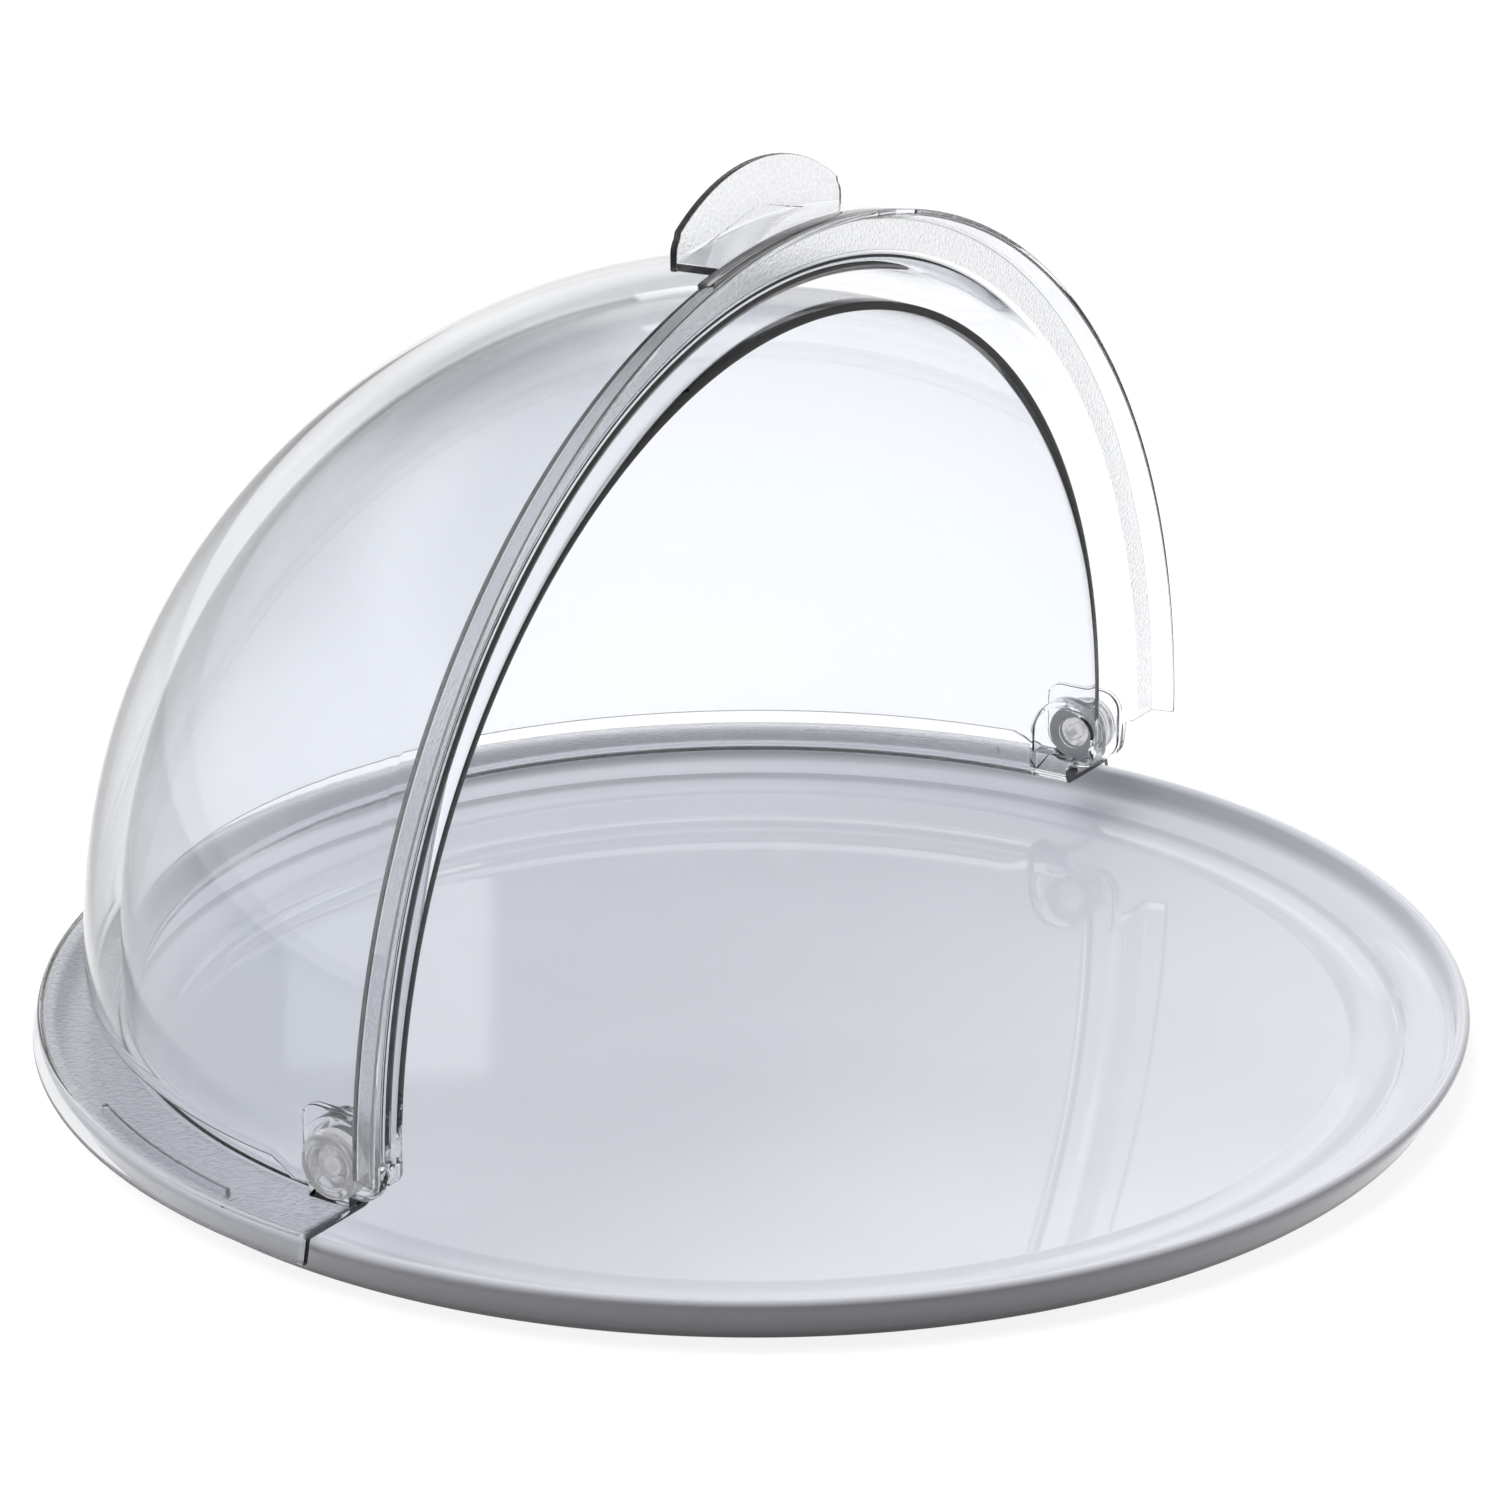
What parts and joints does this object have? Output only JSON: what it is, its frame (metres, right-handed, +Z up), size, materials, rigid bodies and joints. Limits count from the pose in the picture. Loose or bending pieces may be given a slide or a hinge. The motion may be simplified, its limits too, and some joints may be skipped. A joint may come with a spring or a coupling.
{
  "type": "roll-top serving tray",
  "caption": "Round serving tray with a clear domed cover whose front half rolls up and back over the rear half on side pivots.",
  "frame": {"origin": "centre of the tray's base, on the plane that the tray stands on", "axes": "+X along the cover's pivot axis, towards the right-hand pivot; +Y from the open front to the back of the cover; +Z up out of the tray"},
  "size_m": [0.386, 0.383, 0.2354],
  "materials": {
    "tray_plastic": "polished light grey plastic",
    "clear_plastic": "clear styrene plastic with a fine-grained frosted flange and handle",
    "pivot_plastic": "milky translucent plastic"
  },
  "bodies": {
    "tray": {"tray": "tray_plastic"},
    "rear_cover": {"rear_cover": "clear_plastic", "left_pivot_button": "pivot_plastic", "right_pivot_button": "pivot_plastic", "left_pivot_cap": "pivot_plastic", "right_pivot_cap": "pivot_plastic"},
    "front_cover": {"front_cover": "clear_plastic"}
  },
  "joints": [
    {"name": "cover_lift", "type": "slide", "parent": "tray", "child": "rear_cover", "axis": [0, 0, 1], "range_m": [0, 0.06]},
    {"name": "cover_roll", "type": "hinge", "parent": "rear_cover", "child": "front_cover", "pos_m": [0, 0, 0.028], "axis": [1, 0, 0], "range_deg": [0, 90]}
  ]
}
